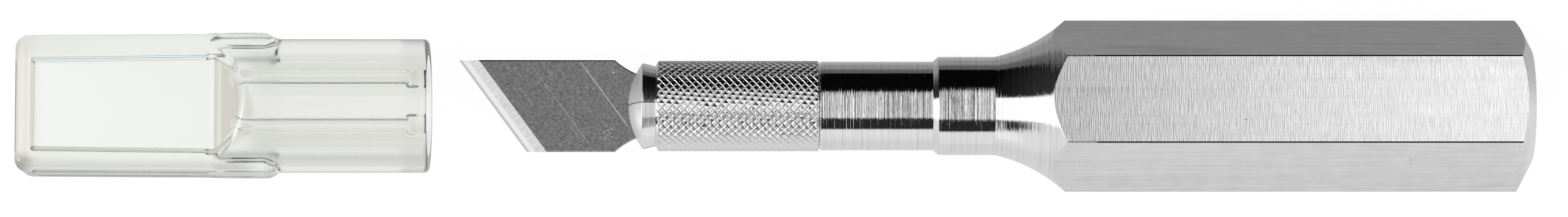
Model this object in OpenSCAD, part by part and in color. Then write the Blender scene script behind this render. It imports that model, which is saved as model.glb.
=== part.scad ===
// Hobby craft knife with a hexagonal bar handle, a four-jaw chuck, a knurled collar,
// a slanted blade and a clear push-on safety cap.
// The knife lies on one flat of its handle: X runs along the axis, with the blade towards -X.
// The origin is on the flat that it rests on, at half the length of the grip.

/* [Handle] */
// Width of the hexagon bar across its flats
hex_af = 19.05; // [17:0.05:24]
// Length of the hexagonal grip, with its chamfered end
grip_l = 59.3; // [40:0.1:90]
// Depth that the sharp corners of the hexagon are turned down by
corner_break = 0.06; // [0.03:0.01:0.4]
// Diameter of the flat on the rear end
end_flat_d = 14.4; // [8:0.1:16]
// Slope of the chamfer around that flat, from the plane of the end
end_angle = 27.5; // [10:0.5:45]
// Radius of the concave flare between the shoulder and the hexagon
flare_r = 19.6; // [16:0.1:30]
// Slope at which the flare leaves the shoulder
flare_angle = 12.5; // [5:0.5:25]
// Diameter of the turned shoulder
shoulder_d = 12.5; // [11.8:0.05:15]
// Length of the turned shoulder
shoulder_l = 7.15; // [3:0.05:15]
// Length of the chamfer in front of the shoulder
shoulder_chamfer = 0.7; // [0.2:0.05:1.5]
// Diameter of the neck behind the collar
neck_d = 11.28; // [9:0.02:11.6]
// Length of the neck
neck_l = 15.1; // [13:0.1:25]
// Chamfer on the front edge of the neck
neck_chamfer = 0.15; // [0.05:0.05:0.5]

/* [Collar] */
// Diameter over the points of the knurl
collar_d = 11.56; // [10.6:0.02:14]
// Length of the collar
collar_l = 20.8; // [15:0.1:30]
// Gap between the tightened collar and the neck
collar_gap = 0.04; // [0.02:0.01:0.4]
// Diameter of the bore that the shank of the collet runs in
collar_bore_d = 8.6; // [7.6:0.05:9]
// Depth of the knurl from point to root
knurl_depth = 0.16; // [0.1:0.01:0.4]
// Number of diamonds around the collar
knurl_count = 33; // [16:1:36]
// Length of one diamond along the axis
knurl_pitch = 0.955; // [0.8:0.005:2]
// Chamfer on the front rim of the collar
rim_chamfer = 0.34; // [0.2:0.02:0.5]
// Chamfer on the rear rim of the collar
heel_chamfer = 0.2; // [0.1:0.02:0.5]

/* [Collet] */
// Largest diameter of the jaws
head_d = 10.9; // [10:0.02:11.4]
// Length of the jaws in front of their largest diameter
nose_l = 2; // [1:0.05:3]
// Radius of the dome on the nose
dome_r = 9; // [7.6:0.1:40]
// Half angle of the taper that closes the jaws
taper_angle = 14; // [10:0.5:20]
// Length of the taper left in front of the collar
taper_out = 1.55; // [1:0.05:2.5]
// Width of the saw cut across the blade
slit_w = 0.14; // [0.1:0.02:0.6]
// Length of the jaws from the nose to the root of the saw cuts
jaw_l = 17; // [14:0.1:20]
// Diameter of the threaded stem
stem_d = 4.8; // [4:0.05:6]
// Length of the stem inside the neck
stem_l = 10; // [6:0.1:12]
// Distance that the collet moves in one turn of the collar
thread_pitch = 0.8; // [0.5:0.05:1.25]

/* [Blade] */
// Width of the blade
blade_w = 11.7; // [10:0.05:12.4]
// Thickness of the blade
blade_t = 0.6; // [0.4:0.02:0.9]
// Distance from the nose of the collet to the point of the blade
blade_out = 21.6; // [15:0.1:28]
// Angle of the cutting edge to the axis
edge_angle = 53.5; // [40:0.5:75]
// Width of the ground bevel, square to the edge
bevel_w = 2.05; // [1:0.05:3]
// Width of the honed bevel along the edge
hone_w = 0.95; // [0.3:0.05:1]
// Thickness where the honed bevel meets the ground bevel
hone_t = 0.3; // [0.2:0.02:0.4]
// Thickness left at the edge
edge_t = 0.04; // [0.02:0.01:0.1]
// Distance from the shoulders of the blade to the nose of the collet
blade_clear = 1.7; // [0.5:0.1:4]
// Width of the tang
tang_w = 6.8; // [5:0.1:7.4]
// Length of the tang behind the nose of the collet
tang_l = 13.5; // [10:0.1:13.8]
// Radius of the hollow between the shoulders and the tang
hollow_r = 9.5; // [6:0.1:12]

/* [Cap] */
// Length of the safety cap
cap_l = 52.4; // [48:0.1:60]
// Distance from the point of the blade to the mouth of the removed cap
cap_off = 3.8; // [2:0.1:20]
// Outside diameter of the sleeve
sleeve_d = 17; // [16:0.05:18.5]
// Thickness of the sleeve wall
sleeve_wall = 1.95; // [1.5:0.05:2.2]
// Width of the flat sheath where it ends on the sleeve
sheath_w = 17.8; // [17.2:0.05:19]
// Width that the sheath loses towards its closed end
sheath_draft = 0.4; // [0:0.05:0.8]
// Thickness of the flat sheath
sheath_t = 9.6; // [8:0.1:11]
// Length of the flat sheath along the cap
sheath_l = 32.9; // [30:0.1:36]
// Radius of the corners of the closed end
sheath_corner = 1.7; // [0.5:0.1:2.5]
// Radius along the edges of the sheath
sheath_edge = 1.5; // [0.5:0.1:2.5]
// Length of the bevel where the sheath ends on the sleeve
sheath_bevel = 1.05; // [0.5:0.05:2]
// Thickness of the closed end
end_wall = 1.9; // [1.2:0.05:3]
// Thickness of the pocket for the blade
pocket_t = 4.8; // [3:0.1:5.5]
// Room on each side of the blade where the pocket opens
pocket_clear = 0.45; // [0.3:0.05:0.6]
// Room on each side of the blade that the pocket loses towards its closed end
pocket_draft = 0.3; // [0:0.05:0.3]
// Length of the pocket before it opens into the sleeve
pocket_l = 23.4; // [20:0.1:26]
// Angle of each gripping rib from the plane that stands square to the blade
rib_angle = 26; // [20:1:50]
// Width of a gripping rib
rib_w = 1.2; // [0.6:0.05:2]
// Width of the pad that leads in to each rib at the mouth
pad_w = 2.3; // [1.5:0.05:3]
// Length of the lead-in at the mouth
lead_in = 2.2; // [1:0.1:4]
// Radius on the outer edge of the mouth
mouth_edge = 0.6; // [0.2:0.05:1]

/* [Fits] */
// Radial room of the shank and the stem in their bores
run_fit = 0.05; // [0.03:0.01:0.1]
// Room on each face of the blade in its slot
blade_fit = 0.03; // [0.02:0.01:0.06]
// Room between the taper of the collet and its seat
seat_fit = 0.04; // [0.02:0.01:0.08]
// Radial room between the knurl and the gripping ribs
grip_fit = 0.05; // [0.02:0.01:0.1]

/* [Hidden] */
$fn = 96;
cut = 1; // how far a cutter runs past the face that it cuts

// Heights and radii of the handle
axis_z = hex_af / 2;
hex_r = hex_af / sqrt(3);
corner_r = hex_r - corner_break;
shoulder_r = shoulder_d / 2;
neck_r = neck_d / 2;
stem_r = stem_d / 2;

// The flare is one arc: it leaves the shoulder at flare_angle and steepens up to the corners.
flare_end_angle = acos(cos(flare_angle) - (hex_r - shoulder_r) / flare_r);
flare_l = flare_r * (sin(flare_end_angle) - sin(flare_angle));

// Stations along the axis, from the rear to the front
x_rear = grip_l / 2;
x_hex = -grip_l / 2;
x_flare = x_hex - flare_l;
x_shoulder = x_flare - shoulder_l;
x_neck = x_shoulder - neck_l;
x_heel = x_neck - collar_gap;
x_rim = x_heel - collar_l;
x_head = x_rim - taper_out;
x_nose = x_head - nose_l;
x_tip = x_nose - blade_out;
x_mouth = x_tip - cap_off;
x_cap = x_mouth - cap_l;

// Collar and collet
crest_r = collar_d / 2;
root_r = crest_r - knurl_depth;
bore_r = collar_bore_d / 2;
shank_r = bore_r - run_fit;
head_r = head_d / 2;
x_shank = x_head + (head_r - shank_r) / tan(taper_angle);
x_stop = x_heel - 2 * thread_pitch;
x_stem = x_neck + stem_l;
hole_r = stem_r + run_fit;
x_hole = x_stem + 2 * thread_pitch;
seat_shift = seat_fit / sin(taper_angle);
stem_chamfer = stem_r / 4;
knurl_l = collar_l - rim_chamfer - heel_chamfer;
knurl_rows = 2 * round(knurl_l / knurl_pitch);
knurl_sides = 2 * knurl_count;

// Blade
blade_r = blade_w / 2;
tang_r = tang_w / 2;
x_blade_shoulder = x_nose - blade_clear;
hollow_start = acos(1 - (blade_r - tang_r) / hollow_r);
x_tang = x_blade_shoulder + hollow_r * sin(hollow_start);
x_tang_end = x_nose + tang_l;
edge_run = blade_w / tan(edge_angle);

// Cap
sleeve_r = sleeve_d / 2;
cap_bore_r = sleeve_r - sleeve_wall;
rib_r = crest_r + grip_fit;
pocket_r = blade_r + pocket_clear;
x_pocket = x_cap + end_wall;
x_ramp = x_pocket + pocket_l;
x_sheath = x_cap + sheath_l;
ramp_wall = sleeve_wall * sqrt(2); // measured along the axis, on a ramp of 45 degrees
x_outer_ramp = x_ramp - ramp_wall + (sheath_t - pocket_t) / 2;
sheath_drop = sheath_bevel / 2; // how far the bevel at the end of the sheath falls in

// Points of an arc about c, from angle a to angle b, in n steps.
function arc(c, r, a, b, n) = [for (i = [0:n]) let (t = a + (b - a) * i / n) c + r * [cos(t), sin(t)]];

// A profile of radius against station, turned about the axis of the knife.
module turned() translate([0, 0, axis_z]) rotate([0, 90, 0]) rotate_extrude() children();

// An outline in the plane of the blade, X by Y, of the thickness t about the axis.
module plan(t) translate([0, 0, axis_z - t / 2]) linear_extrude(t) children();

// An outline seen from the side, X by Z about the axis, of the width w.
module side(w) translate([0, w / 2, axis_z]) rotate([90, 0, 0]) linear_extrude(w) children();

// A rod of radius r along the axis, from station a to station b.
module rod(r, a, b) translate([a, 0, axis_z]) rotate([0, 90, 0]) cylinder(r = r, h = b - a);

// A hexagon bar with two flats level, from station a to station b.
module hex_bar(a, b)
    translate([a, 0, axis_z]) rotate([0, 90, 0]) rotate([0, 0, 30]) cylinder(r = hex_r, h = b - a, $fn = 6);

// The turned outline of the handle: neck, shoulder, flare, corners and chamfered end.
module handle_profile() difference() {
    polygon([
        [0, x_neck],
        [neck_r - neck_chamfer, x_neck],
        [neck_r, x_neck + neck_chamfer],
        [neck_r, x_shoulder - shoulder_chamfer],
        [shoulder_r, x_shoulder],
        [shoulder_r, x_flare],
        [corner_r, x_flare],
        [corner_r, x_rear - (corner_r - end_flat_d / 2) * tan(end_angle)],
        [end_flat_d / 2, x_rear],
        [0, x_rear]
    ]);
    translate([shoulder_r + flare_r * cos(flare_angle), x_flare - flare_r * sin(flare_angle)])
        circle(flare_r, $fn = 240);
}

module hex_handle() color("silver") difference() {
    intersection() {
        hex_bar(x_neck - cut, x_rear + cut);
        turned() handle_profile();
    }
    rod(hole_r, x_neck - cut, x_hole);
}

// One ring of the knurl at station x. Points and roots alternate, and phase swaps them.
function knurl_ring(x, high, low, phase) = [
    for (i = [0:knurl_sides - 1])
        let (a = 360 * i / knurl_sides, r = (i + phase) % 2 == 0 ? high : low)
            [x, r * cos(a), r * sin(a)]
];

// The outside of the collar: a lattice of diamond points, each quad split along its groove.
module knurl_body() {
    x0 = x_rim + rim_chamfer;
    x1 = x_heel - heel_chamfer;
    step = (x1 - x0) / knurl_rows;
    rings = concat(
        [knurl_ring(x_rim, root_r - rim_chamfer, root_r - rim_chamfer, 0)],
        [for (j = [0:knurl_rows])
            knurl_ring(x0 + j * step, j == 0 || j == knurl_rows ? root_r : crest_r, root_r, j)],
        [knurl_ring(x_heel, root_r - heel_chamfer, root_r - heel_chamfer, 0)]
    );
    last = len(rings) - 1;
    sides = [
        for (k = [0:last - 1], i = [0:knurl_sides - 1])
            let (
                a = k * knurl_sides + i,
                b = k * knurl_sides + (i + 1) % knurl_sides,
                c = b + knurl_sides,
                d = a + knurl_sides
            )
            each (i + k) % 2 == 1 ? [[a, d, b], [b, d, c]] : [[a, d, c], [a, c, b]]
    ];
    ends = [
        [for (i = [0:knurl_sides - 1]) i],
        [for (i = [knurl_sides - 1:-1:0]) last * knurl_sides + i]
    ];
    translate([0, 0, axis_z]) polyhedron([for (ring = rings) each ring], concat(sides, ends));
}

// The bore of the collar, which opens into the conical seat of the jaws.
module collar_bore() {
    seat_r = bore_r + (x_shank + seat_shift - x_rim + cut) * tan(taper_angle) - run_fit;
    turned() polygon([
        [0, x_rim - cut],
        [seat_r, x_rim - cut],
        [bore_r, x_shank + seat_shift - run_fit / tan(taper_angle)],
        [bore_r, x_heel + cut],
        [0, x_heel + cut]
    ]);
}

module knurled_collar() color("gainsboro") difference() {
    knurl_body();
    collar_bore();
}

// The turned outline of the collet: domed nose, taper, shank and stem.
module collet_profile() intersection() {
    polygon([
        [0, x_nose],
        [head_r, x_nose],
        [head_r, x_head],
        [shank_r, x_shank],
        [shank_r, x_stop],
        [stem_r, x_stop],
        [stem_r, x_stem - stem_chamfer],
        [stem_r - stem_chamfer, x_stem],
        [0, x_stem]
    ]);
    union() {
        translate([0, x_nose + dome_r]) circle(dome_r, $fn = 240);
        translate([0, x_head]) square([head_r, x_stem - x_head]);
    }
}

// The saw cut that parts the jaws, of width w, in the plane of the blade or across it.
module saw_cut(w, turn)
    translate([x_nose - cut, 0, axis_z]) rotate([turn, 0, 0])
        translate([0, -head_r - cut, -w / 2]) cube([jaw_l + cut, head_d + 2 * cut, w]);

module collet() color("lightgray") difference() {
    turned() collet_profile();
    saw_cut(blade_t + 2 * blade_fit, 0);
    saw_cut(slit_w, 90);
}

// One shoulder of the blade, hollowed towards the tang, on the side of sign s.
function blade_shoulder(s) = [
    for (p = arc([x_tang, tang_r + hollow_r], hollow_r, 270 - hollow_start, 270, 10)) [p[0], s * p[1]]
];

function reversed(list) = [for (i = [len(list) - 1:-1:0]) list[i]];

module blade_outline() polygon(concat(
    [[x_tip, blade_r]],
    blade_shoulder(1),
    [[x_tang_end, tang_r], [x_tang_end, -tang_r]],
    reversed(blade_shoulder(-1)),
    [[x_tip + edge_run, -blade_r]]
));

// Everything behind the cutting edge, with the ground bevel and the honed bevel on both faces.
module bevel_wedge() {
    reach = x_tang_end - x_tip + blade_w;
    half = [
        [0, edge_t / 2],
        [hone_w, hone_t / 2],
        [bevel_w, blade_t / 2],
        [reach, blade_t / 2]
    ];
    translate([x_tip, blade_r, axis_z]) rotate([0, 0, 90 - edge_angle]) rotate([90, 0, 0])
        translate([0, 0, -reach]) linear_extrude(2 * reach)
            polygon(concat(half, [for (p = reversed(half)) [p[0], -p[1]]]));
}

module blade() color("dimgray") intersection() {
    plan(blade_t) blade_outline();
    bevel_wedge();
}

// A rectangle of size [w, h] about the origin, with corners of radius r.
module rounded_rectangle(w, h, r) {
    square([w, h - 2 * r], center = true);
    square([w - 2 * r, h], center = true);
    for (x = [-1, 1], y = [-1, 1])
        translate([x * (w / 2 - r), y * (h / 2 - r)]) circle(r, $fn = 48);
}

// One long side of the sheath on the side of sign s, from the rounded corner to the bevel, drafted.
function sheath_side(s) = let (
    half_w = sheath_w / 2,
    lean = atan(sheath_draft / 2 / (sheath_l - sheath_bevel)),
    corner_y = half_w - sheath_draft / 2 + sheath_corner * (tan(lean) - 1 / cos(lean))
) [
    for (p = concat(
        arc([x_cap + sheath_corner, corner_y], sheath_corner, 180, 90 + lean, 8),
        [[x_sheath - sheath_bevel, half_w], [x_sheath, half_w - sheath_drop]]
    )) [p[0], s * p[1]]
];

// The flat sheath over the blade, closed and rounded at its far end.
module sheath() {
    half_t = sheath_t / 2;
    intersection() {
        plan(sheath_t) polygon(concat(sheath_side(1), reversed(sheath_side(-1))));
        side(sheath_w) polygon([
            [x_cap, half_t],
            [x_sheath - sheath_bevel, half_t],
            [x_sheath, half_t - sheath_bevel],
            [x_sheath, sheath_bevel - half_t],
            [x_sheath - sheath_bevel, -half_t],
            [x_cap, -half_t]
        ]);
        translate([x_cap, 0, axis_z]) rotate([90, 0, 90]) linear_extrude(sheath_l)
            rounded_rectangle(sheath_w, sheath_t, sheath_edge);
    }
}

// A wedge-fronted prism as wide as 2 * r: it opens at 45 degrees from half height h at station x, up to r.
module ramped(x, h, r, end) side(2 * r) polygon([
    [x, h],
    [x + r - h, r],
    [end, r],
    [end, -r],
    [x + r - h, -r],
    [x, -h]
]);

// The round sleeve that pushes over the collar, ramped down to the sheath.
module sleeve() intersection() {
    ramped(x_outer_ramp, sheath_t / 2, sleeve_r, x_mouth);
    turned() union() {
        translate([0, x_cap]) square([sleeve_r, cap_l - mouth_edge]);
        translate([0, x_cap]) square([sleeve_r - mouth_edge, cap_l]);
        translate([sleeve_r - mouth_edge, x_mouth - mouth_edge]) circle(mouth_edge, $fn = 48);
    }
}

// The hollow of the cap: a flat pocket for the blade that opens into the bore of the sleeve.
module cap_hollow() {
    plan(pocket_t) polygon([
        [x_pocket, pocket_r - pocket_draft],
        [x_ramp, pocket_r],
        [x_ramp + cut, pocket_r],
        [x_ramp + cut, -pocket_r],
        [x_ramp, -pocket_r],
        [x_pocket, pocket_draft - pocket_r]
    ]);
    intersection() {
        ramped(x_ramp, pocket_t / 2, cap_bore_r, x_mouth + cut);
        rod(cap_bore_r, x_ramp, x_mouth + cut);
    }
}

// One bar of width w on the wall of the sleeve, from station a to station b, at the angle turn from upright.
module bar(w, a, b, turn)
    translate([a, 0, axis_z]) rotate([turn, 0, 0])
        translate([0, -w / 2, 0]) cube([b - a, w, cap_bore_r + sleeve_wall / 2]);

// The gripping ribs and their wider pads, curved to the collar. A cone at the mouth fades them into the wall
// before they end. They leave the way of the blade free.
module ribs() {
    x0 = x_ramp + (cap_bore_r - pocket_t / 2) / 2;
    difference() {
        for (half = [0, 180], s = [-1, 1]) {
            bar(rib_w, x0, x_mouth - lead_in / 2, half + s * rib_angle);
            bar(pad_w, x_mouth - 1.1 * lead_in, x_mouth - lead_in / 3, half + s * rib_angle);
        }
        rod(rib_r, x0 - cut, x_mouth + cut);
        turned() polygon([
            [0, x_mouth - lead_in],
            [rib_r, x_mouth - lead_in],
            [cap_bore_r + sleeve_wall / 4, x_mouth],
            [0, x_mouth]
        ]);
    }
}

module safety_cap() color("aliceblue", 0.5) {
    difference() {
        union() {
            sheath();
            sleeve();
        }
        cap_hollow();
    }
    ribs();
}

hex_handle();
knurled_collar();
collet();
blade();
safety_cap();
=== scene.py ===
"""Looks of the hobby craft knife: meshes, finishes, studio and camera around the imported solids."""
import functools
import math
import random

import bmesh
import bpy
import numpy as np
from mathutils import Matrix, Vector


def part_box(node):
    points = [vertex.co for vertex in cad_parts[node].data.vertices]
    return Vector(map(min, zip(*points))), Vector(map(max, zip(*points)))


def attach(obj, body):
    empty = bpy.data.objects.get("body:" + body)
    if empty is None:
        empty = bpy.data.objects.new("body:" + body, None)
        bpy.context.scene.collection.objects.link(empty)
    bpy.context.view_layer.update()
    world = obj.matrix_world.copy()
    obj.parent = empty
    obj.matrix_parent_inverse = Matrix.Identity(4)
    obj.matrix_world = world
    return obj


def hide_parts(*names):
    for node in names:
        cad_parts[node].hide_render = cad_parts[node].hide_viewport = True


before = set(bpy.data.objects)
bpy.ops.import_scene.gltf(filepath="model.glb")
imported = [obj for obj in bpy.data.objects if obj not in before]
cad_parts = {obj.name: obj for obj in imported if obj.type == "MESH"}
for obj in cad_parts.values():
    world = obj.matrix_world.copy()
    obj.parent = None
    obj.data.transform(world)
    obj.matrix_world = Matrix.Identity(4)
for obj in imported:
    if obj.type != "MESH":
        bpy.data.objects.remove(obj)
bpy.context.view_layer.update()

# Sizes are in millimetres, as on the solids, and become metres when a mesh is made.
MM = 0.001
WELD_GAP = 1e-4


def box_mm(node):
    """Lowest and highest corners of a node, in millimetres."""
    low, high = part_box(node)
    return np.array(low) / MM, np.array(high) / MM


handle_low, handle_high = box_mm("hex_handle")
collar_low, collar_high = box_mm("knurled_collar")
collet_low, collet_high = box_mm("collet")
blade_low, blade_high = box_mm("blade")
cap_low, cap_high = box_mm("safety_cap")

# Handle
HEX_AF = handle_high[2] - handle_low[2]
APOTHEM = HEX_AF / 2
AXIS_Z = (handle_low[2] + handle_high[2]) / 2
CORNER_R = (handle_high[1] - handle_low[1]) / 2
X_NECK = handle_low[0]
X_REAR = handle_high[0]
GRIP_L = 59.3
X_HEX = X_REAR - GRIP_L
END_FLAT_R = 7.2
END_SLOPE = math.tan(math.radians(27.5))
END_ROUND = 0.2
FLARE_R = 19.6
FLARE_ANGLE = math.radians(12.5)
SHOULDER_R = 6.25
SHOULDER_L = 7.15
SHOULDER_CHAMFER = 0.7
NECK_R = 5.64
NECK_CHAMFER = 0.15
HOLE_R = 2.45
HOLE_L = 11.6
EDGE_ROUND = 0.06

# Collar
X_RIM = collar_low[0]
X_HEEL = collar_high[0]
CREST_R = (collar_high[1] - collar_low[1]) / 2
COLLAR_BORE_R = 4.3
KNURL_COUNT = 33
KNURL_PITCH = 0.955
KNURL_DEEP = 0.192
KNURL_SHALLOW = 0.16
KNURL_FLAT = 0.015
KNURL_MID = 0.68  # where the gentle crown of a diamond turns down into the groove
KNURL_MID_DEEP = 0.07
KNURL_LEAN = 0.06  # how far a row of diamonds creeps round in each diamond along it
KNURL_WEAR = 0.02  # the most that the point of a diamond is worn down
RIM_R = 5.2
RIM_SLOPE = 1.7  # how steeply the chamfer at the rim rises along the collar
HEEL_R = 5.45
HEEL_SLOPE = 1.4
HEEL_CHAMFER = 0.2
SEAT_R = 5.1
SEAT_L = 3.2

# Collet
X_NOSE = collet_low[0]
X_STEM = collet_high[0]
HEAD_R = (collet_high[1] - collet_low[1]) / 2
NOSE_L = 2.0
X_HEAD = X_NOSE + NOSE_L
HEAD_ROUND = 0.25
DOME_R = 9.0
TAPER_ANGLE = math.radians(14)
SHANK_R = 4.25
JAW_L = 17.0
SLOT_HALF = 0.33
SLIT_HALF = 0.07
SLIT_FRONT_HALF = 1.4 * SLIT_HALF
SLIT_BACK_HALF = 0.6 * SLIT_HALF
SLIT_CLOSE_L = 2.4  # over this length the slit narrows from its front to its back
JAW_OVERLAP = 0.01
SHANK_CHAMFER = 0.3
STEM_R = 2.4
STEM_CHAMFER = 0.6
THREAD_PITCH = 0.8

# Blade
BLADE_W = blade_high[1] - blade_low[1]
X_TIP = blade_low[0]
EDGE_ANGLE = math.radians(53.5)
BEVEL_W = 2.05
HONE_W = 0.91
KEEN_W = 0.32  # the strip along the very edge, painted darker as painted shade
BLADE_EASE = 0.15

# Cap
X_CAP = cap_low[0]
X_MOUTH = cap_high[0]
SLEEVE_R = (cap_high[2] - cap_low[2]) / 2
SLEEVE_WALL = 1.95
CAP_BORE_R = SLEEVE_R - SLEEVE_WALL
SHEATH_W = cap_high[1] - cap_low[1]
SHEATH_T = 9.6
SHEATH_L = 32.9
SHEATH_CORNER = 1.7
SHEATH_EDGE = 1.4
SHEATH_DRAFT = 0.4
END_WALL = 1.9
POCKET_T = 4.8
POCKET_GAP = 0.45
POCKET_HALF = BLADE_W / 2 + POCKET_GAP
POCKET_DRAFT = 0.3
POCKET_L = 23.4
POCKET_CORNER = 0.9
POCKET_END_ROUND = 0.4
X_POCKET = X_CAP + END_WALL
X_RAMP = X_POCKET + POCKET_L
X_RAILS = X_CAP + SHEATH_L
RAIL_EDGE = 0.2  # how sharp the rails are beside the sleeve
RAIL_BEVEL = 0.5
RAIL_BEVEL_UP = 1.05
RAMP_ROUND = 0.25
SLEEVE_FILLET = 0.6
HOLLOW_FILLET = 0.3
RIM_ROUND = 0.3
RIB_GAP = 0.05
RIB_R = CREST_R + RIB_GAP
RIB_W = 1.2
RIB_ANGLE = math.radians(26)
RIB_ROUND = 0.5
RIB_FILLET = 0.4
PAD_W = 2.3
PAD_ROUND = 0.3
PAD_FILLET = 0.2
LEAD_IN = 2.2
PAD_L = 1.1 * LEAD_IN
LEAD_ROUND = 0.2
MOUTH_EDGE = 0.65
CAP_STEP = 0.28  # between the points of the grid that its net is drawn from

# The camera leans a little to the -Y side, and the studio is built round it.
LEAN = math.radians(5.5)


def rounded(points, radius, steps=3):
    """The same open line with each inner corner eased by a small curve."""
    almost_straight = math.radians(4)
    most_of_side = 0.45
    points = [np.array(p, float) for p in points]
    line = [points[0]]
    for before, corner, after in zip(points, points[1:], points[2:]):
        back, ahead = before - corner, after - corner
        reach_back, reach_ahead = np.linalg.norm(back), np.linalg.norm(ahead)
        cosine = float(np.dot(back, ahead) / (reach_back * reach_ahead))
        turn = math.pi - math.acos(max(-1.0, min(1.0, cosine)))
        if turn < almost_straight:
            line.append(corner)
            continue
        ease = min(radius * math.tan(turn / 2), most_of_side * reach_back, most_of_side * reach_ahead)
        start, end = corner + back * ease / reach_back, corner + ahead * ease / reach_ahead
        for t in np.linspace(0, 1, steps + 1):
            line.append((1 - t) ** 2 * start + 2 * t * (1 - t) * corner + t ** 2 * end)
    line.append(points[-1])
    return [tuple(p) for p in line]


def polar(x, radius, angle):
    """A point at a station along the axis of the knife; the angle runs from +Y towards +Z."""
    return (x, radius * math.cos(angle), AXIS_Z + radius * math.sin(angle))


def finish_mesh(name, mesh_data, material, body, node, sharp=25):
    """Turns a bmesh in millimetres into a piece that stands for a node and rides on its body."""
    bmesh.ops.scale(mesh_data, vec=(MM, MM, MM), verts=mesh_data.verts)
    mesh = bpy.data.meshes.new(name)
    mesh_data.to_mesh(mesh)
    mesh_data.free()
    mesh.shade_smooth()
    mesh.set_sharp_from_angle(angle=math.radians(sharp))
    piece = bpy.data.objects.new(name, mesh)
    bpy.context.scene.collection.objects.link(piece)
    mesh.materials.append(material)
    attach(piece, body)
    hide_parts(node)
    return piece


def add_strips(mesh_data, rows, closed):
    """Quads between each row of points and the next; closed rows join their last point to their first."""
    made = [[mesh_data.verts.new(p) for p in row] for row in rows]
    for first, second in zip(made, made[1:]):
        count = len(first) if closed else len(first) - 1
        for i in range(count):
            k = (i + 1) % len(first)
            mesh_data.faces.new((first[i], first[k], second[k], second[i]))
    return made


def weld(mesh_data):
    """Joins points that coincide, drops what collapsed and turns all faces outwards."""
    bmesh.ops.remove_doubles(mesh_data, verts=mesh_data.verts, dist=WELD_GAP)
    bmesh.ops.dissolve_degenerate(mesh_data, edges=mesh_data.edges, dist=WELD_GAP)
    bmesh.ops.recalc_face_normals(mesh_data, faces=mesh_data.faces)


class Nodes:
    """Short ways to add and link the nodes of one material or world."""

    def __init__(self, tree):
        self.tree = tree
        tree.nodes.clear()

    def add(self, kind, inputs=None, **settings):
        node = self.tree.nodes.new("ShaderNode" + kind)
        for key, value in settings.items():
            setattr(node, key, value)
        for key, value in (inputs or {}).items():
            if hasattr(value, "is_output"):
                self.tree.links.new(value, node.inputs[key])
            else:
                node.inputs[key].default_value = value
        return node

    def place(self):
        """X, Y and Z in the piece's own coordinates, in millimetres."""
        metres = self.add("TexCoord").outputs["Object"]
        scaled = self.add("Mapping", {"Vector": metres, "Scale": (1 / MM, 1 / MM, 1 / MM)}).outputs[0]
        return self.add("SeparateXYZ", {0: scaled}).outputs

    def math(self, operation, a, b=0.0, clamp=False):
        node = self.add("Math", {0: a, 1: b}, operation=operation, use_clamp=clamp)
        return node.outputs[0]

    def size(self, value):
        """The value without its sign."""
        return self.math("ABSOLUTE", value)

    def product(self, *values):
        return functools.reduce(lambda a, b: self.math("MULTIPLY", a, b), values)

    def highest(self, *values):
        return functools.reduce(lambda a, b: self.math("MAXIMUM", a, b), values)

    def total(self, *parts):
        """The sum of values, each with its own weight."""
        weighed = [self.math("MULTIPLY", value, weight) for value, weight in parts]
        return functools.reduce(lambda a, b: self.math("ADD", a, b), weighed)

    def ramp(self, value, stops):
        """A colour ramp of grey levels or colours at the given places, from 0 to 1."""
        node = self.add("ValToRGB", {0: value})
        elements = node.color_ramp.elements
        while len(elements) < len(stops):
            elements.new(0.5)
        for element, (place, level) in zip(elements, stops):
            element.position = place
            element.color = (level, level, level, 1) if isinstance(level, (int, float)) else (*level, 1)
        return node.outputs["Color"]

    def curve(self, value, low, high, stops):
        """Grey levels or colours at places in the range from low to high, with straight lines between."""
        share = self.add("MapRange", {0: value, 1: low, 2: high}).outputs[0]
        return self.ramp(share, [((place - low) / (high - low), level) for place, level in stops])

    def step(self, value, low, high):
        """Rises smoothly from 0 at one value to 1 at the other, which may be the lower one."""
        node = self.add("MapRange", {0: value, 1: low, 2: high}, interpolation_type="SMOOTHSTEP")
        return node.outputs[0]

    def noise(self, stretch, scale, detail=3.0):
        """Noise in the piece's own coordinates, stretched along each axis."""
        place = self.add("TexCoord").outputs["Object"]
        mapped = self.add("Mapping", {"Vector": place, "Scale": stretch}).outputs[0]
        settings = {"Vector": mapped, "Scale": scale, "Detail": detail, "Roughness": 0.55}
        return self.add("TexNoise", settings).outputs["Fac"]

    def mix(self, factor, a, b, blend="MIX"):
        """From colour a to colour b; a Mix node has them at inputs 6 and 7, and the result at output 2."""
        node = self.add("Mix", {0: factor, 6: a, 7: b}, data_type="RGBA", blend_type=blend)
        return node.outputs[2]

    def bump(self, height, strength, distance):
        node = self.add("Bump", {"Height": height, "Strength": strength, "Distance": distance})
        return node.outputs["Normal"]


def new_material(name):
    material = bpy.data.materials.new(name)
    material.use_nodes = True
    nodes = Nodes(material.node_tree)
    shader = nodes.add("BsdfPrincipled")
    nodes.add("OutputMaterial", {"Surface": shader.outputs[0]})
    return material, nodes, shader


def connect(nodes, shader, **links):
    for key, value in links.items():
        nodes.tree.links.new(value, shader.inputs[key.replace("_", " ")])


# Finishes

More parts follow.
